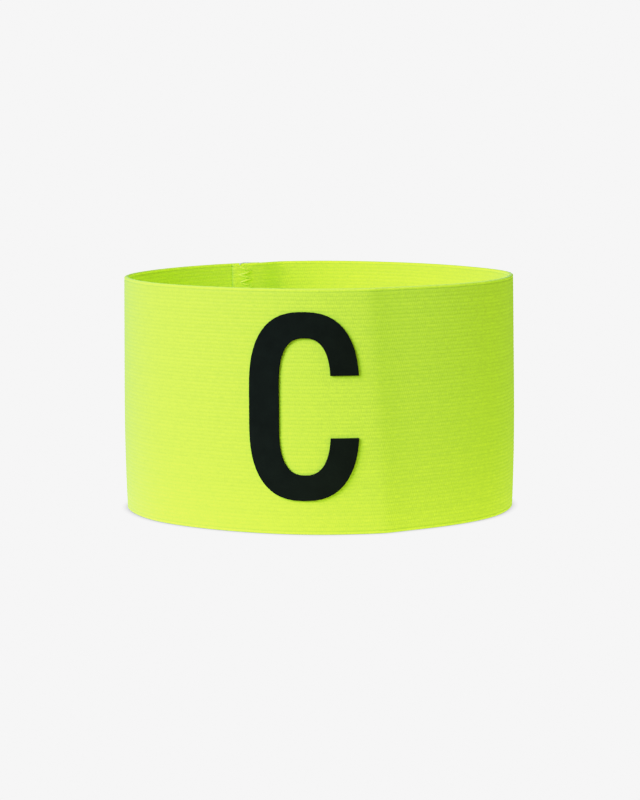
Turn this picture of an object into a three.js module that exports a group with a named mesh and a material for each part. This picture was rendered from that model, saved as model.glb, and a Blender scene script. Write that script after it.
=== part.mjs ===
// A team captain's armband, the kind that is pulled over the sleeve and worn round the upper arm.
// It is one strip of ribbed elastic whose two ends are lapped at the back and sewn together into a
// loop, with a raised flock letter on the front. The loop stands on its lower edge and opens upwards.
// Millimetres, +Z up, the front faces -Y. The origin is the middle of the footprint.
import * as THREE from 'three';

// The elastic loop
const BAND_WIDTH = 70; // width of the strip, which is the height of the standing loop
const LOOP_ACROSS = 115.8; // outside size at the upper edge, left to right
const LOOP_DEEP = 94; // outside size at the upper edge, front to back
const WALL = 1.3; // thickness of the elastic
const BULGE = 0.6; // how far the wall swells out between its two edges
const SELVEDGE = 1.1; // height of the woven bead along each edge of the strip

// The two soft creases left by folding the loop flat, placed as shares of the way round it,
// anticlockwise from the right end
const FRONT_CREASE_AT = 0.7867;
const BACK_CREASE_AT = 0.287;
const CREASE_LEAN = 5; // how far a crease drifts anticlockwise from its upper to its lower end
const CREASE_RISE = 0.7; // how far it stands out at the upper edge
const CREASE_FADE = 0.35; // share of the rise that is gone at the lower edge
const CREASE_ROUNDING = 2; // length of the bend itself
const CREASE_FLANK = 8; // length over which each side of it dies away

// The sewn lap at the back
const LAP_FROM_CREASE = 4.5; // from the back crease to the outer end of the strip
const LAP = 9.6; // length of strip that lies double
const LAP_GAP = 0.3; // room between the two layers
const JOG = 9; // length over which the strip steps inwards to pass under its other end

// The letter
const LETTER_TOP_MARGIN = 6.4; // bare elastic above the letter
const LETTER_BOTTOM_MARGIN = 9.9; // bare elastic below it
const LETTER_ACROSS = 31.1;
const LETTER_FROM_CREASE = 20.3; // from the middle of the letter to the front crease
const STEM = 8.7; // width of the upright stroke
const TIP = 8; // width of the two ends
const BOW = 7.4; // thickness of the stroke at the top and the bottom
const MOUTH = 17.7; // opening between the two ends
const OUTER_TURN = 22; // height over which the outer outline turns
const INNER_TURN = 13; // the same for the inner outline
const SQUARENESS = 2.5; // 2 makes the turns elliptical, more makes them squarer
const FLOCK = 0.5; // how far the letter stands out
const FLOCK_GAP = 0.15; // room between the letter and the elastic

// How finely the curved faces are cut
const LOOP_STEPS = 104;
const CREASE_STEPS = 3;
const BODY_LEVELS = 9;
const STROKE_COLUMNS = 4;
const END_STEPS = 13;
const BACK_STEPS = 34;

// The plan of the loop anticlockwise from the right end, at even turns: how far each place lies
// across and deep, as shares of half the loop's size.
const planTable = [
  { place: 'right end', across: 0.995, deep: 0.008 },
  { place: 'right, to the back', across: 0.811, deep: 0.465 },
  { place: 'back, to the right', across: 0.47, deep: 0.819 },
  { place: 'back', across: 0.008, deep: 1 },
  { place: 'back, to the left', across: -0.477, deep: 0.841 },
  { place: 'left, to the back', across: -0.831, deep: 0.474 },
  { place: 'left end', across: -1, deep: -0.002 },
  { place: 'left, to the front', across: -0.86, deep: -0.492 },
  { place: 'front, to the left', across: -0.482, deep: -0.843 },
  { place: 'front', across: -0.002, deep: -1 },
  { place: 'front, to the right', across: 0.512, deep: -0.877 },
  { place: 'right, to the front', across: 0.881, deep: -0.504 },
];

// The upright line of the wall, from the lower edge up in even steps: share of BULGE.
const swellTable = [
  { level: 'lower edge', swell: 0.35 },
  { level: 'a quarter up', swell: 1 },
  { level: 'halfway', swell: 0.85 },
  { level: 'three quarters up', swell: 0.45 },
  { level: 'upper edge', swell: 0 },
];

// A bead and the groove behind it, inwards from the edge of the strip: distance as a share of
// SELVEDGE, and how far each face is set back, as a share of WALL.
const selvedgeTable = [
  { line: 'edge', from: 0, setBack: 0.24 },
  { line: 'crown of the bead', from: 0.35, setBack: 0.02 },
  { line: 'groove', from: 0.78, setBack: 0.14 },
  { line: 'first rib', from: 1, setBack: 0 },
];

const plan = new THREE.CatmullRomCurve3(
  planTable.map((row) => new THREE.Vector3((row.across * LOOP_ACROSS) / 2, (row.deep * LOOP_DEEP) / 2, 0)),
  true,
  'catmullrom',
);
plan.arcLengthDivisions = 1200;
const LOOP_LENGTH = plan.getLength();
const swellCurve = new THREE.SplineCurve(swellTable.map((row) => new THREE.Vector2(0, row.swell)));

// Places along the strip, measured anticlockwise round the loop from its right end
const FRONT_CREASE = FRONT_CREASE_AT * LOOP_LENGTH;
const BACK_CREASE = BACK_CREASE_AT * LOOP_LENGTH;
const OUTER_END = BACK_CREASE + LAP_FROM_CREASE;
const INNER_END = OUTER_END + LOOP_LENGTH + LAP;
const LETTER_MIDDLE = FRONT_CREASE - LETTER_FROM_CREASE;

const intoLoop = (along) => THREE.MathUtils.euclideanModulo(along, LOOP_LENGTH);
const share = (value) => THREE.MathUtils.clamp(value, 0, 1);
const ease = (value, from, length) => THREE.MathUtils.smoothstep(value, from, from + length);

// How far one crease lifts the wall at a place along the strip and a share of its height.
function creaseLift(crease, along, up) {
  const line = crease + CREASE_LEAN * (0.5 - up);
  const away = intoLoop(along - line + LOOP_LENGTH / 2) - LOOP_LENGTH / 2;
  const beyondBend = Math.hypot(away, CREASE_ROUNDING) - CREASE_ROUNDING;
  return CREASE_RISE * (1 - CREASE_FADE * (1 - up)) * Math.exp(-beyondBend / CREASE_FLANK);
}

// A point of the strip: the place along it, the height, and the distance out from its outer face.
function stripPoint(along, height, out) {
  const up = share(height / BAND_WIDTH);
  const u = intoLoop(along) / LOOP_LENGTH;
  const tangent = plan.getTangentAt(u);
  const tuck = (WALL + LAP_GAP) * ease(along, INNER_END - LAP - JOG, JOG);
  const lift = creaseLift(FRONT_CREASE, along, up) + creaseLift(BACK_CREASE, along, up);
  const offset = BULGE * swellCurve.getPoint(up).y + lift - tuck + out;
  const outward = new THREE.Vector3(tangent.y, -tangent.x, 0);
  return plan.getPointAt(u).addScaledVector(outward, offset).setZ(height);
}

// A closed slab: a grid of points along and across, with a back side 0 and a face side 1.
function slab(alongCount, acrossCount, pointAt) {
  const positions = [];
  const index = [];
  for (let i = 0; i < alongCount; i += 1) {
    for (let j = 0; j < acrossCount; j += 1) {
      positions.push(...pointAt(i, j, 0).toArray(), ...pointAt(i, j, 1).toArray());
    }
  }
  const id = (i, j, side) => (i * acrossCount + j) * 2 + side;
  const quad = (a, b, c, d) => index.push(a, b, c, a, c, d);
  const [lastAlong, lastAcross] = [alongCount - 1, acrossCount - 1];
  for (let i = 0; i < lastAlong; i += 1) {
    for (let j = 0; j < lastAcross; j += 1) {
      quad(id(i, j, 1), id(i + 1, j, 1), id(i + 1, j + 1, 1), id(i, j + 1, 1));
      quad(id(i, j, 0), id(i, j + 1, 0), id(i + 1, j + 1, 0), id(i + 1, j, 0));
    }
    quad(id(i, 0, 0), id(i + 1, 0, 0), id(i + 1, 0, 1), id(i, 0, 1));
    quad(id(i, lastAcross, 1), id(i + 1, lastAcross, 1), id(i + 1, lastAcross, 0), id(i, lastAcross, 0));
  }
  for (let j = 0; j < lastAcross; j += 1) {
    quad(id(0, j, 0), id(0, j, 1), id(0, j + 1, 1), id(0, j + 1, 0));
    quad(id(lastAlong, j, 1), id(lastAlong, j, 0), id(lastAlong, j + 1, 0), id(lastAlong, j + 1, 1));
  }
  const geometry = new THREE.BufferGeometry();
  geometry.setAttribute('position', new THREE.Float32BufferAttribute(positions, 3));
  geometry.setIndex(index);
  geometry.computeVertexNormals();
  return geometry;
}

// Cuts across the strip: even steps round the loop, and more of them over each crease.
function cutsAlongStrip() {
  const ends = [OUTER_END, OUTER_END + LAP, INNER_END - LAP, INNER_END];
  const steps = Array.from({ length: LOOP_STEPS }, (_, k) => (LOOP_LENGTH * k) / LOOP_STEPS);
  for (const crease of [FRONT_CREASE, BACK_CREASE]) {
    for (let k = -CREASE_STEPS; k <= CREASE_STEPS; k += 1) {
      steps.push(crease + ((CREASE_ROUNDING + CREASE_LEAN / 2) * k) / CREASE_STEPS);
    }
  }
  const nearest = LOOP_LENGTH / LOOP_STEPS / 5;
  const cuts = steps
    .flatMap((step) => [step, step + LOOP_LENGTH])
    .filter((cut) => cut > OUTER_END && cut < INNER_END)
    .filter((cut) => ends.every((end) => Math.abs(cut - end) > nearest));
  const sorted = [...cuts, ...ends].sort((a, b) => a - b);
  return sorted.filter((cut, k) => k === 0 || ends.includes(cut) || cut - sorted[k - 1] > nearest);
}

// Lines along the strip, from the lower edge up: a bead, the ribbed body, a bead.
function linesAcrossStrip() {
  const lower = selvedgeTable.map((row) => ({ height: row.from * SELVEDGE, setBack: row.setBack * WALL }));
  const upper = lower.map((line) => ({ height: BAND_WIDTH - line.height, setBack: line.setBack })).reverse();
  const body = Array.from({ length: BODY_LEVELS - 1 }, (_, k) => (
    { height: SELVEDGE + ((BAND_WIDTH - 2 * SELVEDGE) * (k + 1)) / BODY_LEVELS, setBack: 0 }
  ));
  return [...lower, ...body, ...upper];
}

function elasticBand() {
  const cuts = cutsAlongStrip();
  const lines = linesAcrossStrip();
  return slab(cuts.length, lines.length, (i, j, side) => {
    const { height, setBack } = lines[j];
    return stripPoint(cuts[i], height, side === 1 ? -setBack : setBack - WALL);
  });
}

// Half the width of an outline of the letter at a height above its middle.
function halfAcross(outline, y) {
  const turned = share((Math.abs(y) - (outline.top - outline.turn)) / outline.turn);
  return outline.half * (1 - turned ** SQUARENESS) ** (1 / SQUARENESS);
}

// Places along the letter's stroke, from the upper end over the top, down the back and round to
// the lower end. The rise is a share of the outline's height, and the side is 1 at the two ends.
function placesAlongStroke() {
  const quarter = Math.PI / 2;
  const upperEnd = Array.from({ length: END_STEPS }, (_, k) => (
    { side: 1, half: 1, rise: Math.sin((quarter * k) / END_STEPS) }
  ));
  const lowerEnd = upperEnd.map((place) => ({ ...place, half: -1 })).reverse();
  const back = Array.from({ length: BACK_STEPS + 1 }, (_, k) => (
    { side: -1, half: 1, rise: Math.cos((2 * quarter * k) / BACK_STEPS) }
  ));
  return [...upperEnd, ...back, ...lowerEnd];
}

function captainLetter() {
  const top = (BAND_WIDTH - LETTER_TOP_MARGIN - LETTER_BOTTOM_MARGIN) / 2;
  const outer = { middle: 0, half: LETTER_ACROSS / 2, top, turn: OUTER_TURN };
  const inner = {
    middle: (STEM - TIP) / 2, half: (LETTER_ACROSS - STEM - TIP) / 2, top: top - BOW, turn: INNER_TURN,
  };
  const onOutline = (outline, { side, half, rise }) => {
    const start = side === 1 ? MOUTH / 2 : 0;
    const y = half * (start + (outline.top - start) * rise);
    return new THREE.Vector2(outline.middle + side * halfAcross(outline, y), y);
  };
  const places = placesAlongStroke();
  return slab(places.length, STROKE_COLUMNS + 1, (i, j, side) => {
    const at = onOutline(outer, places[i]).lerp(onOutline(inner, places[i]), j / STROKE_COLUMNS);
    const height = LETTER_BOTTOM_MARGIN + top + at.y;
    return stripPoint(LETTER_MIDDLE + at.x, height, FLOCK_GAP + side * FLOCK);
  });
}

function piece(name, geometry, color, roughness) {
  const material = new THREE.MeshStandardMaterial({ color, roughness, metalness: 0 });
  const mesh = new THREE.Mesh(geometry, material);
  mesh.name = name;
  return mesh;
}

// The creases and the lap make the footprint a little uneven, so its middle is brought to the origin.
function centred(group) {
  const middle = new THREE.Box3().setFromObject(group, true).getCenter(new THREE.Vector3());
  for (const mesh of group.children) mesh.geometry.translate(-middle.x, -middle.y, 0);
  return group;
}

const armband = new THREE.Group();
armband.name = 'captain_armband';
armband.add(piece('elastic_band', elasticBand(), 0xd3ee4c, 0.85));
armband.add(piece('captain_letter', captainLetter(), 0x161c16, 0.95));
centred(armband);

export default armband;
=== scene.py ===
"""Captain armband: a loop of wide ribbed elastic, lapped and sewn at the back, with a raised flock letter."""

import math

import bmesh
import bpy
import numpy as np
from bpy.props import FloatProperty, FloatVectorProperty, IntProperty, PointerProperty
from mathutils import Matrix, Vector


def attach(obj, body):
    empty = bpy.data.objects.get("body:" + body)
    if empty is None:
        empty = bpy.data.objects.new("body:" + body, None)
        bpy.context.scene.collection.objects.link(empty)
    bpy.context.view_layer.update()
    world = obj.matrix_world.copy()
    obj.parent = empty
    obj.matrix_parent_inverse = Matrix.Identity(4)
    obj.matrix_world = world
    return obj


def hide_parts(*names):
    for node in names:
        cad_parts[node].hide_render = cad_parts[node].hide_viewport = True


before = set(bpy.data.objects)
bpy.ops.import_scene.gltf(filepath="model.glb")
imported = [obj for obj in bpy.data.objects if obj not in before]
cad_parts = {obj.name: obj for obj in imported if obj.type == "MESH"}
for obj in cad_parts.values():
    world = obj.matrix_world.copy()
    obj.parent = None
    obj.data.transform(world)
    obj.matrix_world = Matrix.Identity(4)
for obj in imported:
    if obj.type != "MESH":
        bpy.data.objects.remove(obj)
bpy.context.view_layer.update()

bl_info = {
    "name": "Captain Armband",
    "version": (1, 0, 0),
    "blender": (4, 5, 0),
    "location": "View3D > Sidebar > Armband",
    "description": "Dresses the solids of a captain armband and sets it on a studio table",
    "category": "Object",
}

MM = 0.001
IMAGE_HEIGHT = 800  # pixels
STRIP_WIDTH = 70 * MM
UV_NAME = "strip"

# How the strip is read from its solid
MERGE = 1e-6
FLAT_NORMAL = 0.9  # faces steeper than this belong to the outline of a level
FULL_WALL = 0.985  # levels thinner than this share of the wall belong to the beads
HEIGHT_TERMS = 5  # degree of the smooth line that the wall follows from edge to edge

# The cut ends, which the seam presses flat
PRESS_REACH = 1.8 * MM
END_CLOSING = 0.4  # how far a cut end closes the gap of the lap, as a share of half the wall

# Places along the loop, anticlockwise from its right end
LOOP_LENGTH = 325.07 * MM
OUTER_END_AT = 97.8 * MM
# Each crease: where it meets the lower edge, how far it leans by the upper edge, and how deep the fold is
CREASES = ((259.6 * MM, -5.3 * MM, 1.55 * MM), (92.2 * MM, -0.4 * MM, 0.6 * MM))
CREASE_REACH = 16 * MM  # from a crease to the deepest place of its fold
CREASE_SOFTNESS = 0.08  # how round the crease is, in reaches
FOLD_END = 3.2  # the fold dies away by about this many reaches behind its crease
SIDE_SWELL = 0.3 * MM  # how far the right and the left end of the loop stand out
SWELL_POWER = 6  # the higher, the closer to the ends

# The mesh of the strip
RIM_ROWS = 8
ROWS_PER_RIB = 4

# Relief and knit of the strip; places between its edge and the first rib are shares of the rim
GROOVE_AT = 0.8
GROOVE_SHARPNESS = 60.0
RIM_MARGIN = 1.01  # the ribs start just past the rim
WANDER_ALONG = 70.0  # how often the unevenness changes in a metre along the strip
WANDER_UP = 420.0
BEAD_END = 0.68
# The groove line: painted shade, a thin darker line along the groove inside the bead
GROOVE_SHADE_AT = 0.82
GROOVE_SHADE_SHARPNESS = 90.0
GROOVE_SHADE_TICKS = -0.5  # how far the ticks of the bead weaken the painted shade of the groove line
DASH_ROW = 5.7  # how far apart two ribs lie in the noise of the dashes

# Tones of the elastic: a mask of the knit, how far it changes the colour, and the tone without it. Rib Tone
# and Dash are random tone of the yarn; Height, Rib and Groove are painted shade, darker in the hollows between
# the yarn loops, in the valleys between the ribs and along the groove inside the bead
KNIT_TONES_AND_PAINTED_SHADE = (
    ("Rib Tone", 0.04, 0.98),
    ("Height", 0.045, 0.97),
    ("Dash", 0.32, 1.0),
    ("Rib", 0.065, 0.955),
    ("Groove", -0.26, 1.0),
)
BEAD_PAINTED_HIGHLIGHT = (0.26, -0.03)  # the same for the ticks of the bead, as changes: a painted highlight that makes the bead lighter, most on the tick crests, with a little painted shade between them
STREAK_STRETCH = (0.28, 1.1, 1.0)
CUT_BAND = 0.7  # millimetres
FINE_HEIGHT = 0.8  # height of the fine speckle, against that of the yarn loops

# Speckles: how small and how strong; those of the elastic lie on its map, in millimetres, the others in metres
STREAKS = (1.0, 0.07)
FINE = (1.9, 0.2)
PILE = (5200, 0.5)
CLOUDS = (240, 0.35)
TWIST = (3600, 0.3)
# Bumps: how deep and how strong
YARN_BUMP = (0.035 * MM, 0.7)
PILE_BUMP = (0.06 * MM, 0.5)
TWIST_BUMP = (0.05 * MM, 1.0)

# Edges of the letter that are sharper than this stay sharp, or are rounded
LETTER_SHARP = math.radians(40)
LETTER_ROUNDED = math.radians(50)

# The seam
SEAM_MARGIN = 0.018  # bare share of the strip's width at each end of the zigzag
POINTS_PER_STITCH = 4
HOLE_MARGIN = 0.08  # bare share of the zigzag's width on each side
ARCH_RISE = 1.4  # height of a stitch over its holes, in lifts
HOLE_DEPTH = -0.5
THREAD_SIDES = 7
# The loose end: how far along it, height over the edge in millimetres, and how far to the inside
TAIL_ROUTE = ((0, -0.4, 0.75), (0.1, -0.1, 0.55), (0.3, 0.02, 0.2), (0.6, 0.04, -0.1),
              (0.85, 0.03, 0.1), (1, 0.05, 0.25))
TAIL_LENGTH = 3.4 * MM
TAIL_SPREAD = 0.6 * MM
TAIL_RADIUS = 0.22 * MM
TAIL_START = 0.05  # share of the zigzag's width past the first line of holes

# The stage: the softboxes' name, azimuth, elevation and tint, azimuth 0 at the front and negative to the left
COOL_LIGHT = (1, 1, 1.8)
WARM_LIGHT = (1, 1, 0.4)
SOFTBOXES = (("key", -54, 30, COOL_LIGHT), ("front", 10, 16, WARM_LIGHT), ("fill", 78, 13, WARM_LIGHT))
SOFTBOX_DISTANCE = 1.2
SOFTBOX_SIZE = 0.8
CONTACT_REACH = 2.2 * MM
CONTACT_SHADE = 0.8
POOL_RADIUS = 0.12  # of the light that the table throws back close to the loop
SENSOR = 36
FOCAL_PIXELS = 2250
CAMERA_AT = (-18.546, -671.871, 131.308)  # millimetres
CAMERA_PAN, CAMERA_TILT, CAMERA_ROLL = -1.5942, 8.4227, -0.3429
FILM_TOP = 2.5
FILM_SHOULDER = ((0.6, 0.598), (0.68, 0.665), (0.73, 0.7), (1.0, 0.85), (1.25, 0.92))

# The inputs and the result of a Mix node, by what it mixes
MIX_SOCKETS = {"FLOAT": (2, 3, 0), "RGBA": (6, 7, 2)}


# Sizes and colours that a user may change


class ElasticSettings(bpy.types.PropertyGroup):
    ribs: IntProperty(name="Ribs", description="Number of ribs across the strip", default=62, min=10, max=100)
    rib_depth: FloatProperty(
        name="Rib Depth", description="Depth of the valley between two ribs",
        default=0.06 * MM, unit="LENGTH", precision=5)
    rib_crown: FloatProperty(
        name="Rib Crown", description="Below 1 the ribs are fuller and the valleys narrower",
        default=0.75, min=0.2, max=2, subtype="FACTOR")
    rim: FloatProperty(
        name="Rim", description="Height of the bead and its groove along each edge",
        default=1.1 * MM, unit="LENGTH", precision=5)
    edge_round: FloatProperty(
        name="Edge Rounding", description="Radius of the strip's edges",
        default=0.42 * MM, unit="LENGTH", precision=5)
    groove: FloatProperty(
        name="Groove", description="Depth of the groove inside the bead",
        default=0.13 * MM, unit="LENGTH", precision=5)
    wander: FloatProperty(
        name="Wander", description="How unevenly the faces of the elastic lie",
        default=0.03 * MM, unit="LENGTH", precision=5)
    colour: FloatVectorProperty(
        name="Colour", description="Colour of the elastic", subtype="COLOR", size=3, min=0, max=1,
        default=(0.52, 0.84, 0.013))
    cut_colour: FloatVectorProperty(
        name="Cut Colour", description="Colour of the yarns at the strip's cut ends", subtype="COLOR",
        size=3, min=0, max=1, default=(0.5, 0.76, 0.02))
    # The inner face is painted more saturated, with less blue, as painted shade for the light bounced inside
    # the loop and the sheen it misses.
    inner_painted_shade_colour: FloatVectorProperty(
        name="Inner Painted Shade", description="Colour of the elastic's inner face", subtype="COLOR",
        size=3, min=0, max=1, default=(0.54, 0.8, 0.0))
    press: FloatProperty(
        name="Press", description="How far the strip is thinned where the seam holds its cut ends",
        default=0.85, min=0, max=0.9, subtype="FACTOR")


class LetterSettings(bpy.types.PropertyGroup):
    edge_round: FloatProperty(
        name="Edge Rounding", description="Radius of the letter's edges",
        default=0.1 * MM, unit="LENGTH", precision=5)
    colour: FloatVectorProperty(
        name="Colour", description="Colour of the flock", subtype="COLOR", size=3, min=0, max=1,
        default=(0.0042, 0.0072, 0.0042))


class SeamSettings(bpy.types.PropertyGroup):
    inset: FloatProperty(
        name="Inset", description="From the cut end to the nearer line of needle holes",
        default=1.9 * MM, unit="LENGTH", precision=5)
    width: FloatProperty(
        name="Width", description="Width of the zigzag", default=4.5 * MM, unit="LENGTH", precision=5)
    pitch: FloatProperty(
        name="Pitch", description="Height of one stitch there and back",
        default=2.4 * MM, unit="LENGTH", precision=5)
    thread: FloatProperty(
        name="Thread", description="Radius of the sewing thread",
        default=0.26 * MM, unit="LENGTH", precision=5)
    colour: FloatVectorProperty(
        name="Colour", description="Colour of the sewing thread", subtype="COLOR", size=3, min=0, max=1,
        default=(0.6, 0.855, 0.04))
    tail_colour: FloatVectorProperty(
        name="Tail Colour", description="Colour of the loose thread end", subtype="COLOR", size=3,
        min=0, max=1, default=(0.5, 0.55, 0.42))


class StageSettings(bpy.types.PropertyGroup):
    table_glow: FloatProperty(
        name="Table", description="How bright the table and the backdrop look", default=1.255, min=0, max=4)
    bounce: FloatProperty(
        name="Bounce", description="Light that the table throws back far from the loop", default=0.25,
        min=0, max=4)
    near_bounce: FloatProperty(
        name="Near Bounce", description="Extra light that it throws back close to the loop", default=1.05,
        min=0, max=4)
    sky: FloatProperty(name="Sky", description="Soft light from all round", default=0.08, min=0, max=4)
    key: FloatProperty(
        name="Key", description="Power of the softbox on the left", default=18.8, min=0, unit="POWER")
    front: FloatProperty(
        name="Front", description="Power of the softbox by the camera", default=1.4, min=0, unit="POWER")
    fill: FloatProperty(
        name="Fill", description="Power of the softbox on the right", default=7.6, min=0, unit="POWER")


# Node helpers


def maths(tree, operation, *inputs):
    """A Math node on the given sockets and numbers; returns its result."""
    node = tree.nodes.new("ShaderNodeMath")
    node.operation = operation
    for socket, value in zip(node.inputs, inputs):
        plug(tree, socket, value)
    return node.outputs[0]


def product(tree, *values):
    """All the given sockets and numbers, multiplied."""
    total = values[0]
    for value in values[1:]:
        total = maths(tree, "MULTIPLY", total, value)
    return total


def scaled(tree, vector, factor):
    """A vector or a colour times a number."""
    node = node_with(tree, "ShaderNodeVectorMath", {"Vector": vector, "Scale": factor}, operation="SCALE")
    return node.outputs["Vector"]


def mixed(tree, kind, share, first, second):
    """Between two numbers or two colours."""
    start, end, result = MIX_SOCKETS[kind]
    mix = node_with(tree, "ShaderNodeMix", {0: share, start: first, end: second}, data_type=kind)
    return mix.outputs[result]


def hump(tree, value, sharpness=1.0):
    """1 where the value is 0, falling smoothly to 0 on both sides."""
    return maths(tree, "EXPONENT", product(tree, product(tree, value, value), -sharpness))


def arches(tree, count):
    """A row of equal arches, one to each whole number."""
    return maths(tree, "ABSOLUTE", maths(tree, "SINE", product(tree, count, math.pi)))


def swing(tree, noise):
    """A noise of 0 to 1, as -1 to 1."""
    return product(tree, maths(tree, "SUBTRACT", noise, 0.5), 2.0)


def from_nearer_end(tree, place, length):
    """How far a place on a length is from the nearer of its ends."""
    return maths(tree, "MINIMUM", place, maths(tree, "SUBTRACT", length, place))


def plug(tree, socket, value):
    """Links a socket to a node's output, or sets it to a plain value."""
    if isinstance(value, bpy.types.NodeSocket):
        tree.links.new(value, socket)
    else:
        socket.default_value = value


def node_with(tree, kind, inputs=(), **settings):
    """A node with its settings and its named or numbered inputs."""
    node = tree.nodes.new(kind)
    for name, value in settings.items():
        setattr(node, name, value)
    for key, value in dict(inputs).items():
        plug(tree, node.inputs[key], value)
    return node


def open_socket(sockets, *names):
    """The first socket in use, of the given names if there are any."""
    return next(socket for socket in sockets if socket.enabled and (not names or socket.name in names))


def attribute(tree, name, kind="FLOAT"):
    """A named attribute in a geometry tree."""
    node = node_with(tree, "GeometryNodeInputNamedAttribute", {"Name": name}, data_type=kind)
    return open_socket(node.outputs)


def new_group(name, kind, inputs, outputs):
    """A node group with named sockets; returns it with its input and output nodes' sockets."""
    tree = bpy.data.node_groups.new(name, kind)
    for label, socket_type, value in inputs:
        socket = tree.interface.new_socket(label, in_out="INPUT", socket_type=socket_type)
        if value is not None:
            socket.default_value = value
    for label, socket_type in outputs:
        tree.interface.new_socket(label, in_out="OUTPUT", socket_type=socket_type)
    return tree, tree.nodes.new("NodeGroupInput").outputs, tree.nodes.new("NodeGroupOutput").inputs


def run_tree(piece, tree, values):
    """Runs a geometry tree on a piece with its inputs set, and keeps the result as a plain mesh."""
    modifier = piece.modifiers.new(tree.name, "NODES")
    modifier.node_group = tree
    for item in tree.interface.items_tree:
        if item.in_out == "INPUT" and item.name in values:
            modifier[item.identifier] = values[item.name]
    keep_evaluated(piece)


def keep_evaluated(piece):
    """Turns a piece with live modifiers into a plain mesh."""
    depsgraph = bpy.context.evaluated_depsgraph_get()
    finished = bpy.data.meshes.new_from_object(
        piece.evaluated_get(depsgraph), preserve_all_data_layers=True, depsgraph=depsgraph)
    finished.name = piece.name
    piece.modifiers.clear()
    piece.data = finished


def new_piece(name, mesh):
    """An object at the origin that shows a mesh."""
    piece = bpy.data.objects.new(name, mesh)
    bpy.context.scene.collection.objects.link(piece)
    return piece


# The strip as the solid has it


def merged_copy(node):
    """The mesh of a CAD node with its corners joined."""
    shape = bmesh.new()
    shape.from_mesh(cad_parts[node].data)
    bmesh.ops.remove_doubles(shape, verts=shape.verts, dist=MERGE)
    return shape


def level_outlines(shape):
    """The closed outline of the strip at each level of the solid, lowest first, as (height, points)."""
    beside = {}
    for edge in shape.edges:
        low, high = edge.verts
        level = abs(low.co.z - high.co.z) < MERGE
        if level and any(abs(face.normal.z) < FLAT_NORMAL for face in edge.link_faces):
            beside.setdefault(low, []).append(high)
            beside.setdefault(high, []).append(low)
    outlines = []
    while beside:
        start = next(iter(beside))
        outline, corner = [], start
        while corner in beside:
            outline.append(np.array(corner.co[:2]))
            ahead = [other for other in beside.pop(corner) if other in beside]
            corner = ahead[0] if ahead else start
        outlines.append((start.co.z, outline))
    return sorted(outlines, key=lambda row: row[0])


def outline_runs(outline):
    """The outer and the inner face's run of an outline, both anticlockwise from the outer cut end."""
    count = len(outline)
    turn = []
    for i in range(count):
        before = outline[i] - outline[i - 1]
        after = outline[(i + 1) % count] - outline[i]
        lengths = np.linalg.norm(before) * np.linalg.norm(after)
        turn.append(float(before @ after) / lengths)
    corners = sorted(range(count), key=lambda i: turn[i])[:4]
    ends = [i for i in corners if (i + 1) % count in corners]
    if len(ends) != 2:
        raise RuntimeError("the strip's cut ends weren't found")
    runs = []
    for first, last in ((ends[0] + 1, ends[1]), (ends[1] + 1, ends[0])):
        steps = (last - first) % count + 1
        run = np.array([outline[(first + i) % count] for i in range(steps)])
        ahead = np.roll(run, -1, axis=0)[:-1]
        swept = np.sum(run[:-1, 0] * ahead[:, 1] - run[:-1, 1] * ahead[:, 0])
        runs.append(run if swept > 0 else run[::-1])
    runs.sort(key=lambda run: -np.mean(np.linalg.norm(run, axis=1)))
    return runs


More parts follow.
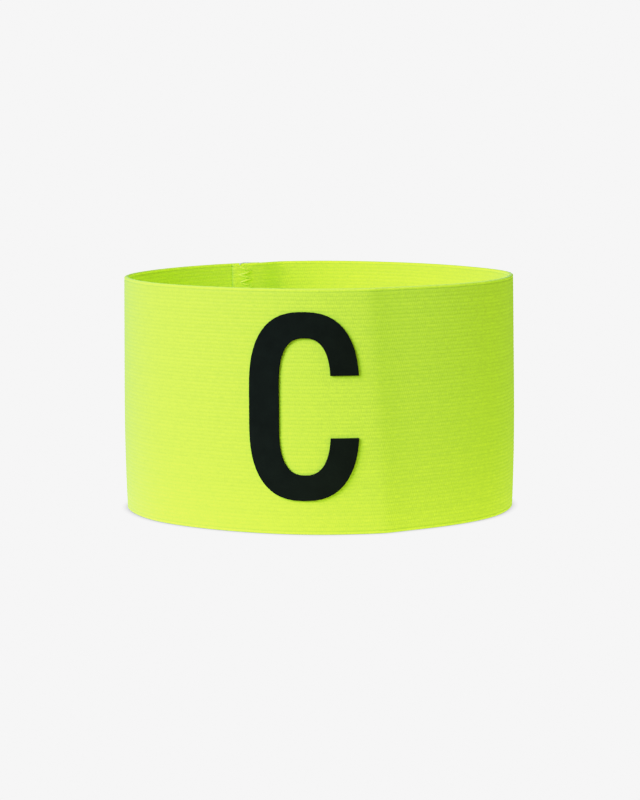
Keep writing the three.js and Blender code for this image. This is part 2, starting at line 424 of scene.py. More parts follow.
class Strip:
    """The middle surface of the elastic and the way out to its faces, at any height."""

    def __init__(self, press):
        shape = merged_copy("elastic_band")
        levels = level_outlines(shape)
        shape.free()
        heights = np.array([height for height, outline in levels])
        faces = np.array([outline_runs(outline) for height, outline in levels])
        outer, inner = faces[:, 0], faces[:, 1]
        middle, half = (outer + inner) / 2, (outer - inner) / 2
        thickness = np.linalg.norm(half, axis=2).mean(axis=1)
        full = thickness > FULL_WALL * thickness.max()
        self.stations = outer.shape[1]
        self.middle_terms = self.fit(heights[full], middle[full])
        self.half_terms = self.fit(heights[full], half[full])
        steps = np.linalg.norm(np.diff(self.at(self.middle_terms, STRIP_WIDTH / 2), axis=0), axis=1)
        self.along = np.concatenate(([0], np.cumsum(steps)))
        self.length = float(self.along[-1])
        # Each cut end is thinned on the side that can be seen, and pressed against the layer below it.
        outer_end = np.exp(-(self.along / PRESS_REACH) ** 2)
        inner_end = np.exp(-((self.length - self.along) / PRESS_REACH) ** 2)
        self.lean = ((inner_end - outer_end) * (press + END_CLOSING))[:, None]
        self.share = (1 - press * (inner_end + outer_end))[:, None]

    @staticmethod
    def fit(heights, values):
        """Smooth lines from edge to edge through the values of each level."""
        flat = values.reshape(len(heights), -1)
        return np.polyfit(heights / STRIP_WIDTH, flat, HEIGHT_TERMS)

    def at(self, terms, up):
        """The values of such lines at one height."""
        powers = (up / STRIP_WIDTH) ** np.arange(HEIGHT_TERMS, -1, -1)
        return (powers @ terms).reshape(-1, 2)

    def middle(self, up):
        """The middle surface at one height."""
        half = self.at(self.half_terms, up)
        out = half / np.linalg.norm(half, axis=1)[:, None]
        plain = self.at(self.middle_terms, up)
        swell = SIDE_SWELL * (plain[:, 0] / np.abs(plain[:, 0]).max()) ** SWELL_POWER
        return plain + half * self.lean + out * (swell - self.folds(up))[:, None]

    def folds(self, up):
        """How far in the wall lies behind each crease."""
        total = np.zeros(self.stations)
        for low, lean, depth in CREASES:
            place = low + lean * up / STRIP_WIDTH
            past = (OUTER_END_AT + self.along - place + LOOP_LENGTH / 2) % LOOP_LENGTH - LOOP_LENGTH / 2
            share = past / CREASE_REACH
            share = (share + np.sqrt(share ** 2 + CREASE_SOFTNESS ** 2)) / 2
            total += depth * share * np.exp(1 - share - (share / FOLD_END) ** 2)
        return total

    def half(self, up):
        """From the middle surface to the outer face."""
        return self.at(self.half_terms, up) * self.share

    def face_point(self, along, up, side):
        """A point on the outer (side 1) or inner (side -1) face, with the direction out of it.

        Side 0 gives a point on the middle surface.
        """
        middle, half = self.middle(up), side * self.half(up)
        spot = [np.interp(along, self.along, middle[:, axis] + half[:, axis]) for axis in (0, 1)]
        out = Vector([np.interp(along, self.along, half[:, axis]) for axis in (0, 1)] + [0])
        return Vector(spot + [up]), out.normalized()


def rib_pitch(settings):
    """From one rib to the next."""
    return (STRIP_WIDTH - 2 * settings.rim) / settings.ribs


def rib_rows(settings):
    """The heights of the mesh rows: close together round each edge, and some to each rib between."""
    rim = [settings.rim * (1 - math.cos(math.pi / 2 * i / RIM_ROWS)) for i in range(RIM_ROWS)]
    steps = settings.ribs * ROWS_PER_RIB
    body = STRIP_WIDTH - 2 * settings.rim
    ribs = [settings.rim + body * i / steps for i in range(steps + 1)]
    return rim + ribs + [STRIP_WIDTH - height for height in reversed(rim)]


def strip_mesh(strip, settings):
    """A smooth closed slab with some rows of points to each rib, and what the relief needs to know."""
    rows = rib_rows(settings)
    last = len(rows) - 1
    ring = [(row, 1) for row in range(last + 1)] + [(row, -1) for row in range(last - 1, 0, -1)]
    points, outs, ups, halves, places, inner = [], [], [], [], [], []
    for row, side in ring:
        up = rows[row]
        middle, half = strip.middle(up), strip.half(up)
        thick = np.linalg.norm(half, axis=1)
        edge = row in (0, last)
        face = middle if edge else middle + side * half
        way = half / thick[:, None] * side
        for station in range(strip.stations):
            points.append((face[station, 0], face[station, 1], up))
            outs.append((0, 0, 0) if edge else (way[station, 0], way[station, 1], 0))
            ups.append(up)
            halves.append(thick[station])
            places.append(strip.along[station])
            inner.append(1 if side < 0 else 0)
    size, count = strip.stations, len(ring)
    faces = []
    for i in range(count):
        here, there = i * size, (i + 1) % count * size
        for station in range(size - 1):
            faces.append((here + station, here + station + 1, there + station + 1, there + station))
    first_cap = len(faces)
    faces += cap_faces(last, size, 0)
    faces += [face[::-1] for face in cap_faces(last, size, size - 1)]
    mesh = bpy.data.meshes.new("elastic")
    mesh.from_pydata(points, [], faces)
    mesh.shade_smooth()
    for name, kind, values in (
        ("out", "FLOAT_VECTOR", outs), ("up", "FLOAT", ups), ("half", "FLOAT", halves),
        ("along", "FLOAT", places), ("inner face", "FLOAT", inner),
    ):
        layer = mesh.attributes.new(name, kind, "POINT")
        flat = np.array(values, dtype=np.float32).ravel()
        layer.data.foreach_set("vector" if kind == "FLOAT_VECTOR" else "value", flat)
    paint_strip_map(mesh, places, ups)
    sharpen_caps(mesh, first_cap)
    return mesh


def cap_faces(last, size, station):
    """The faces across a cut end, from the lower edge of the strip to its upper edge, which is row last."""
    count = 2 * last
    rings = [(0, 1, count - 1)]
    rings += [(row, row + 1, count - row - 1, count - row) for row in range(1, last - 1)]
    rings.append((last - 1, last, last + 1))
    return [tuple(place * size + station for place in ring) for ring in rings]


def paint_strip_map(mesh, places, ups):
    """The UV map of the strip: millimetres along it and millimetres up."""
    corners = np.zeros(len(mesh.loops), dtype=np.int32)
    mesh.loops.foreach_get("vertex_index", corners)
    flat = np.column_stack((np.array(places)[corners], np.array(ups)[corners])) / MM
    mesh.uv_layers.new(name=UV_NAME).data.foreach_set("uv", flat.astype(np.float32).ravel())


def sharpen_caps(mesh, first_cap):
    """Marks the borders of the cut ends, so that the light breaks there."""
    border = set()
    for polygon in mesh.polygons[first_cap:]:
        border.update(polygon.edge_keys)
    layer = mesh.attributes.new("sharp_edge", "BOOLEAN", "EDGE")
    layer.data.foreach_set("value", [edge.key in border for edge in mesh.edges])


# Geometry trees


def relief_tree():
    """Moves the faces of a strip in and out: rounded edges, a bead, a groove and the ribs."""
    tree, given, made = new_group("ribbed relief", "GeometryNodeTree", (
        ("Geometry", "NodeSocketGeometry", None),
        ("Strip Width", "NodeSocketFloat", STRIP_WIDTH),
        ("Rim", "NodeSocketFloat", 1.1 * MM),
        ("Rib Pitch", "NodeSocketFloat", 1.1 * MM),
        ("Rib Depth", "NodeSocketFloat", 0.1 * MM),
        ("Rib Crown", "NodeSocketFloat", 0.75),
        ("Edge Rounding", "NodeSocketFloat", 0.4 * MM),
        ("Groove", "NodeSocketFloat", 0.2 * MM),
        ("Wander", "NodeSocketFloat", 0.03 * MM),
        ("Seed", "NodeSocketFloat", 7.0),
        ("Material", "NodeSocketMaterial", None),
    ), (("Geometry", "NodeSocketGeometry"),))
    up, half, along = (attribute(tree, name) for name in ("up", "half", "along"))
    from_edge = from_nearer_end(tree, up, given["Strip Width"])

    inside = maths(tree, "MINIMUM", maths(tree, "DIVIDE", from_edge, given["Edge Rounding"]), 1.0)
    short = maths(tree, "SUBTRACT", 1.0, inside)
    bow = maths(tree, "SQRT", maths(tree, "SUBTRACT", 1.0, product(tree, short, short)))
    rounding = product(tree, maths(tree, "SUBTRACT", bow, 1.0), half)

    off_groove = maths(tree, "SUBTRACT", maths(tree, "DIVIDE", from_edge, given["Rim"]), GROOVE_AT)
    groove = product(tree, hump(tree, off_groove, GROOVE_SHARPNESS), given["Groove"], -1.0)

    count = maths(tree, "DIVIDE", maths(tree, "SUBTRACT", up, given["Rim"]), given["Rib Pitch"])
    crown = maths(tree, "POWER", arches(tree, count), given["Rib Crown"])
    body = maths(tree, "GREATER_THAN", from_edge, product(tree, given["Rim"], RIM_MARGIN))
    ribs = product(tree, maths(tree, "SUBTRACT", crown, 1.0), given["Rib Depth"], body)

    spot = node_with(tree, "ShaderNodeCombineXYZ", {
        0: product(tree, along, WANDER_ALONG),
        1: product(tree, up, WANDER_UP),
        2: given["Seed"],
    }).outputs[0]
    noise = node_with(tree, "ShaderNodeTexNoise", {"Vector": spot, "Scale": 1.0, "Detail": 1.0})
    wander = product(tree, swing(tree, noise.outputs[0]), given["Wander"])

    total = rounding
    for part in (groove, ribs, wander):
        total = maths(tree, "ADD", total, part)
    moved = node_with(tree, "GeometryNodeSetPosition", {
        "Geometry": given["Geometry"],
        "Offset": scaled(tree, attribute(tree, "out", "FLOAT_VECTOR"), total),
    })
    finish_tree(tree, moved.outputs[0], given["Material"], made)
    return tree


def finish_tree(tree, geometry, material, made):
    """The end of every geometry tree."""
    real = node_with(tree, "GeometryNodeRealizeInstances", {"Geometry": geometry})
    dressed = node_with(tree, "GeometryNodeSetMaterial", {"Geometry": real.outputs[0], "Material": material})
    plug(tree, made[0], dressed.outputs[0])


def zigzag_tree():
    """A zigzag of thread over a guide face, from its lower to its upper edge."""
    tree, given, made = new_group("zigzag stitches", "GeometryNodeTree", (
        ("Geometry", "NodeSocketGeometry", None),
        ("Stitches", "NodeSocketInt", 58),
        ("Thread Radius", "NodeSocketFloat", 0.17 * MM),
        ("Lift", "NodeSocketFloat", 0.2 * MM),
        ("Unevenness", "NodeSocketFloat", 0.08),
        ("Seed", "NodeSocketInt", 3),
        ("Material", "NodeSocketMaterial", None),
    ), (("Geometry", "NodeSocketGeometry"),))
    line = node_with(tree, "GeometryNodeMeshLine", {
        "Count": maths(tree, "ADD", product(tree, given["Stitches"], float(POINTS_PER_STITCH)), 1.0)})
    path = node_with(tree, "GeometryNodeMeshToCurve", {"Mesh": line.outputs[0]})
    index = tree.nodes.new("GeometryNodeInputIndex").outputs[0]
    count = maths(tree, "DIVIDE", index, float(POINTS_PER_STITCH))
    # The thread goes from hole to hole: a triangle wave across, and a low arch over each stitch.
    across = maths(tree, "PINGPONG", count, 1.0)
    arch = arches(tree, maths(tree, "FRACT", count))
    lowest, highest = 2, 3  # the sockets of a random number's range
    stray = node_with(tree, "FunctionNodeRandomValue", {
        lowest: -1.0,
        highest: 1.0,
        "ID": maths(tree, "ROUND", maths(tree, "DIVIDE", index, 2.0)),
        "Seed": given["Seed"],
    }, data_type="FLOAT")
    shift = product(tree, stray.outputs[1], given["Unevenness"])
    inside = maths(tree, "MULTIPLY_ADD", across, 1 - 2 * HOLE_MARGIN, HOLE_MARGIN)
    spot = node_with(tree, "ShaderNodeCombineXYZ", {
        0: maths(tree, "ADD", inside, shift),
        1: maths(tree, "DIVIDE", count, given["Stitches"]),
    }).outputs[0]
    uv = attribute(tree, UV_NAME, "FLOAT_VECTOR")

    def on_face(value):
        """What the guide face has at each point of the thread."""
        node = node_with(tree, "GeometryNodeSampleUVSurface", {
            "Mesh": given["Geometry"], "Sample UV": spot}, data_type="FLOAT_VECTOR")
        plug(tree, open_socket(node.inputs, "Value"), value)
        plug(tree, open_socket(node.inputs, "UV Map", "Source UV Map"), uv)
        return open_socket(node.outputs, "Value")

    place = on_face(tree.nodes.new("GeometryNodeInputPosition").outputs[0])
    out = on_face(tree.nodes.new("GeometryNodeInputNormal").outputs[0])
    lift = product(tree, maths(tree, "MULTIPLY_ADD", arch, ARCH_RISE, HOLE_DEPTH), given["Lift"])
    lifted = node_with(tree, "ShaderNodeVectorMath", {0: place, 1: scaled(tree, out, lift)}, operation="ADD")
    laid = node_with(tree, "GeometryNodeSetPosition", {
        "Geometry": path.outputs[0], "Position": lifted.outputs[0]})
    section = node_with(tree, "GeometryNodeCurvePrimitiveCircle", {
        "Resolution": THREAD_SIDES, "Radius": given["Thread Radius"]})
    tube = node_with(tree, "GeometryNodeCurveToMesh", {
        "Curve": laid.outputs[0], "Profile Curve": section.outputs[0], "Fill Caps": True})
    smooth = node_with(tree, "GeometryNodeSetShadeSmooth", {"Geometry": tube.outputs[0]})
    finish_tree(tree, smooth.outputs[0], given["Material"], made)
    return tree


# Shader groups


def speckle_group():
    """Small uneven spots and streaks: a tone around 1 and a height."""
    found = bpy.data.node_groups.get("speckle")
    if found:
        return found
    tree, given, made = new_group("speckle", "ShaderNodeTree", (
        ("Vector", "NodeSocketVector", None),
        ("Scale", "NodeSocketFloat", 1.0),
        ("Detail", "NodeSocketFloat", 2.0),
        ("Amount", "NodeSocketFloat", 0.05),
    ), (("Tone", "NodeSocketFloat"), ("Height", "NodeSocketFloat")))
    noise = node_with(tree, "ShaderNodeTexNoise", {
        "Vector": given["Vector"], "Scale": given["Scale"], "Detail": given["Detail"]})
    uneven = swing(tree, noise.outputs["Fac"])
    plug(tree, made["Tone"], maths(tree, "MULTIPLY_ADD", uneven, given["Amount"], 1.0))
    plug(tree, made["Height"], noise.outputs["Fac"])
    return tree


def speckled(tree, place, scale, amount):
    """Places the speckle group in a material with its own values."""
    node = node_with(tree, "ShaderNodeGroup", node_tree=speckle_group())
    for name, value in (("Vector", place), ("Scale", scale), ("Amount", amount)):
        plug(tree, node.inputs[name], value)
    return node


def knit_group():
    """The yarn loops on each rib, the close ticks on the bead, and the groove line inside it, as masks; the
    material uses Height, Rib and Groove as painted shade and the bead's ticks as a painted highlight.
    """
    tree, given, made = new_group("knit", "ShaderNodeTree", (
        ("Strip Map", "NodeSocketVector", None),
        ("Strip Width", "NodeSocketFloat", STRIP_WIDTH / MM),
        ("Rim", "NodeSocketFloat", 1.1),
        ("Rib Pitch", "NodeSocketFloat", 1.1),
        ("Loop Pitch", "NodeSocketFloat", 0.62),
        ("Tick Pitch", "NodeSocketFloat", 0.4),
        ("Dash Length", "NodeSocketFloat", 1.5),
    ), (("Height", "NodeSocketFloat"), ("Rib", "NodeSocketFloat"), ("Bead", "NodeSocketFloat"),
        ("Groove", "NodeSocketFloat"), ("Rib Tone", "NodeSocketFloat"), ("Dash", "NodeSocketFloat")))
    split = node_with(tree, "ShaderNodeSeparateXYZ", {0: given["Strip Map"]})
    along, up = split.outputs[0], split.outputs[1]
    count = maths(tree, "DIVIDE", maths(tree, "SUBTRACT", up, given["Rim"]), given["Rib Pitch"])
    number = maths(tree, "FLOOR", count)
    rib = arches(tree, maths(tree, "FRACT", count))
    # The loops of each rib are half a loop further along than those of the rib below.
    turn = maths(tree, "ADD", maths(tree, "DIVIDE", along, given["Loop Pitch"]), product(tree, number, 0.5))
    weave = product(tree, arches(tree, turn), rib)
    ticks = arches(tree, maths(tree, "DIVIDE", along, given["Tick Pitch"]))
    near = maths(tree, "DIVIDE", from_nearer_end(tree, up, given["Strip Width"]), given["Rim"])
    bead = maths(tree, "LESS_THAN", near, BEAD_END)
    # Painted shade along the groove inside the bead, weaker where the bead's ticks stand up.
    line = hump(tree, maths(tree, "SUBTRACT", near, GROOVE_SHADE_AT), GROOVE_SHADE_SHARPNESS)
    row = node_with(tree, "ShaderNodeCombineXYZ", {
        0: maths(tree, "DIVIDE", along, given["Dash Length"]),
        1: product(tree, number, DASH_ROW),
    }).outputs[0]
    dashes = node_with(tree, "ShaderNodeTexNoise", {"Vector": row, "Scale": 1.0, "Detail": 2.0})
    random_rib = node_with(tree, "ShaderNodeTexWhiteNoise", {"W": number}, noise_dimensions="1D")
    for name, value in (
        ("Height", mixed(tree, "FLOAT", bead, weave, ticks)),
        ("Rib", rib),
        ("Bead", bead),
        ("Groove", product(tree, line, maths(tree, "MULTIPLY_ADD", ticks, GROOVE_SHADE_TICKS, 1.0))),
        ("Rib Tone", random_rib.outputs["Value"]),
        ("Dash", product(tree, maths(tree, "SUBTRACT", dashes.outputs["Fac"], 0.5), rib)),
    ):
        plug(tree, made[name], value)
    return tree


def cloth_material(name, finish):
    """A material whose Principled shader gets its plain values; returns it, its tree and the shader."""
    material = bpy.data.materials.new(name)
    material.use_nodes = True
    tree = material.node_tree
    shader = tree.nodes["Principled BSDF"]
    for label, value in finish.items():
        shader.inputs[label].default_value = value
    return material, tree, shader


def raise_surface(tree, shader, height, distance, strength):
    """Bumps a material's surface by a height."""
    bump = node_with(tree, "ShaderNodeBump", {"Height": height, "Distance": distance, "Strength": strength})
    plug(tree, shader.inputs["Normal"], bump.outputs[0])


def elastic_material(settings, length):
    """Fluorescent yellow-green elastic: ribs of small yarn loops, a ticked bead, soft sheen. Its colour
    carries painted shade in the hollows between loops, in the valleys between ribs, along the groove line and
    on the inner face, and a painted highlight along the bead.
    """
    material, tree, shader = cloth_material("ribbed elastic", {
        "Roughness": 0.62,
        "Sheen Weight": 0.22,
        "Sheen Roughness": 0.75,
        "Sheen Tint": (0.55, 1, 0.95, 1),
        "Specular IOR Level": 0.15,
    })
    strip_map = node_with(tree, "ShaderNodeUVMap", uv_map=UV_NAME).outputs[0]
    knit = node_with(tree, "ShaderNodeGroup", {"Strip Map": strip_map}, node_tree=knit_group())
    knit.inputs["Rim"].default_value = settings.rim / MM
    knit.inputs["Rib Pitch"].default_value = rib_pitch(settings) / MM
    stretched = node_with(tree, "ShaderNodeMapping", {"Vector": strip_map, "Scale": STREAK_STRETCH})
    streaks = speckled(tree, stretched.outputs[0], *STREAKS)
    fine = speckled(tree, strip_map, *FINE)
    tone = product(tree, streaks.outputs["Tone"], fine.outputs["Tone"])
    # Painted shade: the Height, Rib and Groove masks darken the hollows between loops, the valleys between
    # ribs and the groove line; Rib Tone and Dash are random tone.
    for mask, amount, plain in KNIT_TONES_AND_PAINTED_SHADE:
        tone = product(tree, tone, maths(tree, "MULTIPLY_ADD", knit.outputs[mask], amount, plain))
    # Painted highlight along the bead, brightest on the tick crests, with a little painted shade between them.
    ticks = maths(tree, "MULTIPLY_ADD", knit.outputs["Height"], *BEAD_PAINTED_HIGHLIGHT)
    tone = product(tree, tone, maths(tree, "ADD", product(tree, knit.outputs["Bead"], ticks), 1.0))
    along = node_with(tree, "ShaderNodeSeparateXYZ", {0: strip_map}).outputs[0]
    cut = hump(tree, maths(tree, "DIVIDE", from_nearer_end(tree, along, length / MM), CUT_BAND))
    # Painted shade: the inner face takes a more saturated colour with less blue, for the light bounced inside
    # the loop.
    inner = node_with(tree, "ShaderNodeAttribute", attribute_name="inner face").outputs["Fac"]
    face = mixed(tree, "RGBA", inner, (*settings.colour, 1), (*settings.inner_painted_shade_colour, 1))
    yarn = mixed(tree, "RGBA", cut, face, (*settings.cut_colour, 1))
    plug(tree, shader.inputs["Base Color"], scaled(tree, yarn, tone))
    height = maths(tree, "ADD", knit.outputs["Height"], product(tree, fine.outputs["Height"], FINE_HEIGHT))
    raise_surface(tree, shader, height, *YARN_BUMP)
    return material


def flock_material(settings):
    """Near-black flock: a matte pile of short fibres."""
    material, tree, shader = cloth_material("flock", {"Roughness": 0.9, "Specular IOR Level": 0.05})
    place = node_with(tree, "ShaderNodeTexCoord").outputs["Object"]
    pile = speckled(tree, place, *PILE)
    clouds = speckled(tree, place, *CLOUDS)
    tone = product(tree, pile.outputs["Tone"], clouds.outputs["Tone"])
    plug(tree, shader.inputs["Base Color"], scaled(tree, tuple(settings.colour), tone))
    raise_surface(tree, shader, pile.outputs["Height"], *PILE_BUMP)
    return material


def thread_material(name, colour):
    """Sewing thread with a fine twist."""
    material, tree, shader = cloth_material(name, {"Roughness": 0.55, "Sheen Weight": 0.1})
    place = node_with(tree, "ShaderNodeTexCoord").outputs["Object"]
    twist = speckled(tree, place, *TWIST)
    plug(tree, shader.inputs["Base Color"], scaled(tree, tuple(colour), twist.outputs["Tone"]))
    raise_surface(tree, shader, twist.outputs["Height"], *TWIST_BUMP)
    return material


# Pieces


class ARMBAND_OT_elastic(bpy.types.Operator):
    """Make the ribbed elastic strip over its solid"""

    bl_idname = "armband.elastic"
    bl_label = "Ribbed Elastic"

    def execute(self, context):
        settings = context.scene.armband_elastic
        strip = Strip(settings.press)
        piece = new_piece("ribbed_elastic", strip_mesh(strip, settings))
        run_tree(piece, relief_tree(), {
            "Strip Width": STRIP_WIDTH,
            "Rim": settings.rim,
            "Rib Pitch": rib_pitch(settings),
            "Rib Depth": settings.rib_depth,
            "Rib Crown": settings.rib_crown,
            "Edge Rounding": settings.edge_round,
            "Groove": settings.groove,
            "Wander": settings.wander,
            "Material": elastic_material(settings, strip.length),
        })
        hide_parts("elastic_band")
        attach(piece, "root")
        return {"FINISHED"}


class ARMBAND_OT_letter(bpy.types.Operator):
    """Make the flock letter over its solid"""

    bl_idname = "armband.letter"
    bl_label = "Flock Letter"

    def execute(self, context):
        settings = context.scene.armband_letter
        shape = merged_copy("captain_letter")
        mesh = bpy.data.meshes.new("flock_letter")
        shape.to_mesh(mesh)
        shape.free()
        mesh.shade_smooth()
        mesh.set_sharp_from_angle(angle=LETTER_SHARP)
        piece = new_piece("flock_letter", mesh)
        mesh.materials.append(flock_material(settings))
        bevel = piece.modifiers.new("soft edge", "BEVEL")
        bevel.width = settings.edge_round
        bevel.segments = 2
        bevel.limit_method = "ANGLE"
        bevel.angle_limit = LETTER_ROUNDED
        keep_evaluated(piece)
        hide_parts("captain_letter")
        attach(piece, "root")
        return {"FINISHED"}


class ARMBAND_OT_seam(bpy.types.Operator):
    """Sew the lap at the back: a zigzag on each side and a loose thread end"""

    bl_idname = "armband.seam"
    bl_label = "Lap Seam"

    def execute(self, context):
        settings = context.scene.armband_seam
        strip = Strip(context.scene.armband_elastic.press)
        tree = zigzag_tree()
        thread = thread_material("sewing thread", settings.colour)
        stitches = 2 * round((1 - 2 * SEAM_MARGIN) * STRIP_WIDTH / settings.pitch)
        near, far = settings.inset, settings.inset + settings.width
        for name, side, first, second in (
            ("seam_inside", -1, strip.length - near, strip.length - far),
            ("seam_outside", 1, near, far),
        ):
            piece = new_piece(name, guide_face(strip, side, first, second))
            run_tree(piece, tree, {
                "Stitches": stitches,
                "Thread Radius": settings.thread,
                "Lift": settings.thread,
                "Material": thread,
            })
            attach(piece, "root")
        tail = new_piece("thread_end", thread_tail(strip, settings))
        tail.data.materials.append(thread_material("thread end", settings.tail_colour))
        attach(tail, "root")
        return {"FINISHED"}


def guide_face(strip, side, first, second):
    """A narrow patch of one face of the lap, which the stitches are laid on."""
    columns, rows = 6, 24
    points, quads = [], []
    for row in range(rows + 1):
        up = STRIP_WIDTH * (SEAM_MARGIN + (1 - 2 * SEAM_MARGIN) * row / rows)
        for column in range(columns + 1):
            along = first + (second - first) * column / columns
            points.append(strip.face_point(along, up, side)[0])
    wide = columns + 1
    for row in range(rows):
        for column in range(columns):
            low = row * wide + column
            quads.append((low, low + 1, low + 1 + wide, low + wide))
    out = strip.face_point((first + second) / 2, STRIP_WIDTH / 2, side)[1]
    across = points[1] - points[0]
    if across.cross(Vector((0, 0, 1))).dot(out) < 0:
        quads = [tuple(reversed(quad)) for quad in quads]
    mesh = bpy.data.meshes.new("guide")
    mesh.from_pydata(points, [], quads)
    layer = mesh.uv_layers.new(name=UV_NAME)
    for loop in mesh.loops:
        row, column = divmod(loop.vertex_index, wide)
        layer.data[loop.index].uv = (column / columns, row / rows)
    return mesh


def thread_tail(strip, settings):
    """A short loose end of thread lying on the upper edge at the seam."""
    start = strip.length - settings.inset - settings.width * TAIL_START
    route = []
    for share, rise, side in TAIL_ROUTE:
        along = start - share * TAIL_LENGTH
        centre = strip.face_point(along, STRIP_WIDTH, 0)[0]
        inwards = strip.face_point(along, STRIP_WIDTH, -1)[1]
        route.append(centre + inwards * (side * TAIL_SPREAD) + Vector((0, 0, rise * MM)))
    return tube_mesh("thread_end", route, TAIL_RADIUS)


def tube_mesh(name, route, radius):
    """A closed round tube along a smooth line through some points."""
    line = bpy.data.curves.new(name, "CURVE")
    line.dimensions = "3D"
    line.bevel_depth = radius
    line.bevel_resolution = 2
    line.resolution_u = 6
    line.use_fill_caps = True
    spline = line.splines.new("NURBS")
    spline.points.add(len(route) - 1)
    for point, spot in zip(spline.points, route):
        point.co = (*spot, 1)
    spline.use_endpoint_u = True
    spline.order_u = 3
    holder = new_piece(name + "_line", line)
    depsgraph = bpy.context.evaluated_depsgraph_get()
    mesh = bpy.data.meshes.new_from_object(holder.evaluated_get(depsgraph))
    bpy.data.objects.remove(holder)
    mesh.name = name
    return mesh


# The stage


def towards(azimuth, elevation, distance):
    """The way from the loop to a place that is seen from it."""
    turn, rise = math.radians(azimuth), math.radians(elevation)
    way = (math.sin(turn) * math.cos(rise), -math.cos(turn) * math.cos(rise), math.sin(rise))
    return Vector(way) * distance


def softbox(name, azimuth, elevation, power, tint):
    """A soft square light that looks at the middle of the loop."""
    light = bpy.data.lights.new(name, "AREA")
    light.shape = "SQUARE"
    light.size = SOFTBOX_SIZE
    light.energy = power
    light.color = tint
    holder = bpy.data.objects.new(name, light)
    aim = Vector((0, 0, STRIP_WIDTH / 2))
    place = aim + towards(azimuth, elevation, SOFTBOX_DISTANCE)
    turn = (place - aim).to_track_quat("Z", "Y").to_matrix().to_4x4()
    holder.matrix_world = Matrix.Translation(place) @ turn
    bpy.context.scene.collection.objects.link(holder)


def table_material(settings):
    """An evenly lit pale table: its own glow, with a thin contact shadow, and soft light thrown back."""
    material = bpy.data.materials.new("pale table")
    material.use_nodes = True
    tree = material.node_tree
    tree.nodes.clear()
    shade = node_with(tree, "ShaderNodeAmbientOcclusion", {"Distance": CONTACT_REACH}, samples=16)
    covered = maths(tree, "SUBTRACT", shade.outputs["AO"], 1.0)
    tone = maths(tree, "MULTIPLY_ADD", covered, CONTACT_SHADE, 1.0)
    seen = node_with(tree, "ShaderNodeEmission", {
        "Color": (1, 1, 1, 1), "Strength": product(tree, tone, settings.table_glow)})
    place = node_with(tree, "ShaderNodeTexCoord").outputs["Object"]
    away = node_with(tree, "ShaderNodeVectorMath", {0: place}, operation="LENGTH").outputs["Value"]
    near = hump(tree, maths(tree, "DIVIDE", away, POOL_RADIUS))
    thrown = node_with(tree, "ShaderNodeEmission", {
        "Color": (*WARM_LIGHT, 1),
        "Strength": maths(tree, "MULTIPLY_ADD", near, settings.near_bounce, settings.bounce)})
    which = node_with(tree, "ShaderNodeLightPath").outputs["Is Camera Ray"]
    mix = node_with(tree, "ShaderNodeMixShader", {0: which, 1: thrown.outputs[0], 2: seen.outputs[0]})
    end = tree.nodes.new("ShaderNodeOutputMaterial")
    plug(tree, end.inputs["Surface"], mix.outputs[0])
    return material


def table_mesh():
    """A wide table that sweeps up into a backdrop on all sides."""
    radius, bend, wall, sides, bend_steps = 3.0, 0.8, 2.5, 96, 12
    profile = [(radius * share, 0.0) for share in (0.15, 0.4, 0.7, 1.0)]
    for i in range(1, bend_steps + 1):
        turn = math.pi / 2 * i / bend_steps
        profile.append((radius + bend * math.sin(turn), bend * (1 - math.cos(turn))))
    profile.append((radius + bend, wall))
    points, faces = [(0, 0, 0)], []
    for distance, height in profile:
        for side in range(sides):
            turn = 2 * math.pi * side / sides
            points.append((distance * math.cos(turn), distance * math.sin(turn), height))
    for side in range(sides):
        after = (side + 1) % sides
        faces.append((0, 1 + side, 1 + after))
        for ring in range(len(profile) - 1):
            low, high = 1 + ring * sides, 1 + (ring + 1) * sides
            faces.append((low + side, high + side, high + after, low + after))
    mesh = bpy.data.meshes.new("table")
    mesh.from_pydata(points, [], faces)
    mesh.shade_smooth()
    return mesh


class ARMBAND_OT_stage(bpy.types.Operator):
    """Set up the pale table, the soft light and the camera"""

    bl_idname = "armband.stage"
    bl_label = "Table, Light and Camera"

    def execute(self, context):
        scene = context.scene
        settings = scene.armband_stage
        table = new_piece("table", table_mesh())
        table.data.materials.append(table_material(settings))
        for name, azimuth, elevation, tint in SOFTBOXES:
            softbox(name + " softbox", azimuth, elevation, getattr(settings, name), tint)
        world = bpy.data.worlds.new("soft room")
        world.use_nodes = True
        ground = world.node_tree.nodes["Background"]
        ground.inputs["Color"].default_value = (1, 1, 1, 1)
        ground.inputs["Strength"].default_value = settings.sky
        scene.world = world
        place_camera(scene)
        set_film(scene)
        return {"FINISHED"}


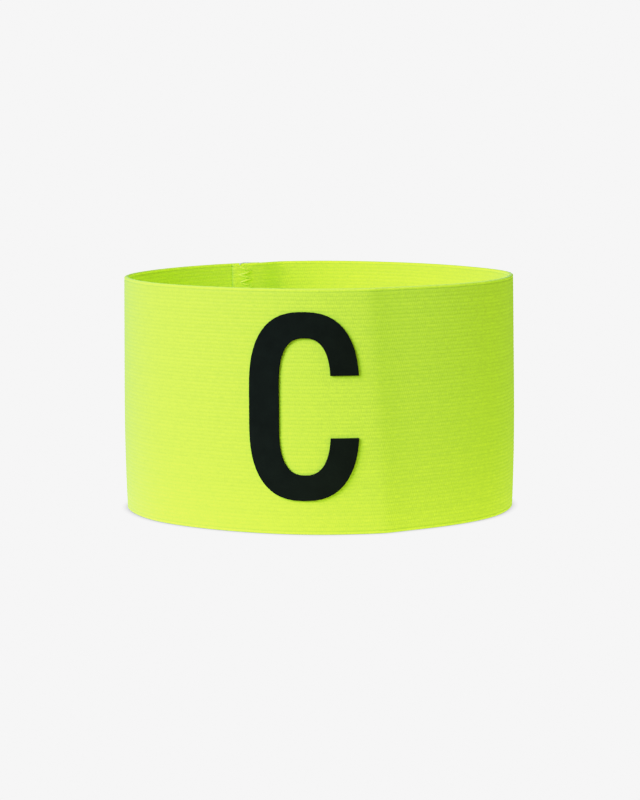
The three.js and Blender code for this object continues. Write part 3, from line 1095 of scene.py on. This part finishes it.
def place_camera(scene):
    """The camera, where the photograph was taken from."""
    data = bpy.data.cameras.new("camera")
    data.sensor_fit = "VERTICAL"
    data.sensor_height = SENSOR
    data.sensor_width = SENSOR
    data.lens = SENSOR * FOCAL_PIXELS / IMAGE_HEIGHT
    data.clip_start = 0.01
    data.clip_end = 20
    holder = bpy.data.objects.new("camera", data)
    holder.matrix_world = (
        Matrix.Translation(Vector(CAMERA_AT) * MM)
        @ Matrix.Rotation(math.radians(CAMERA_PAN), 4, "Z")
        @ Matrix.Rotation(math.radians(90 - CAMERA_TILT), 4, "X")
        @ Matrix.Rotation(math.radians(CAMERA_ROLL), 4, "Z"))
    scene.collection.objects.link(holder)
    scene.camera = holder


def set_film(scene):
    """Plain colours, with a gentle shoulder in the brightest part."""
    scene.view_settings.view_transform = "Standard"
    scene.view_settings.use_curve_mapping = True
    mapping = scene.view_settings.curve_mapping
    mapping.clip_max_x = mapping.clip_max_y = FILM_TOP
    curve = mapping.curves[3]  # the one for all three colours
    curve.points[1].location = (FILM_TOP, 1.0)
    for level, shown in FILM_SHOULDER:
        curve.points.new(level, shown)
    for point in curve.points:
        point.handle_type = "VECTOR"
    mapping.update()


class VIEW3D_PT_armband(bpy.types.Panel):
    """The steps that dress the armband"""

    bl_idname = "VIEW3D_PT_armband"
    bl_label = "Captain Armband"
    bl_space_type = "VIEW_3D"
    bl_region_type = "UI"
    bl_category = "Armband"

    def draw(self, context):
        layout = self.layout
        for operator, group, name in STEPS:
            layout.operator(operator.bl_idname)
            for value in group.__annotations__:
                layout.prop(getattr(context.scene, name), value)


STEPS = (
    (ARMBAND_OT_stage, StageSettings, "armband_stage"),
    (ARMBAND_OT_elastic, ElasticSettings, "armband_elastic"),
    (ARMBAND_OT_letter, LetterSettings, "armband_letter"),
    (ARMBAND_OT_seam, SeamSettings, "armband_seam"),
)


def register():
    """Registers the settings, the steps and the panel."""
    for operator, group, name in STEPS:
        bpy.utils.register_class(group)
        setattr(bpy.types.Scene, name, PointerProperty(type=group))
        bpy.utils.register_class(operator)
    bpy.utils.register_class(VIEW3D_PT_armband)


def unregister():
    """Takes them away again."""
    bpy.utils.unregister_class(VIEW3D_PT_armband)
    for operator, group, name in reversed(STEPS):
        bpy.utils.unregister_class(operator)
        delattr(bpy.types.Scene, name)
        bpy.utils.unregister_class(group)


def main():
    """Dresses the armband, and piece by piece."""
    register()
    bpy.ops.armband.stage()
    bpy.ops.armband.elastic()
    bpy.ops.armband.letter()
    bpy.ops.armband.seam()


if __name__ == "__main__":
    main()
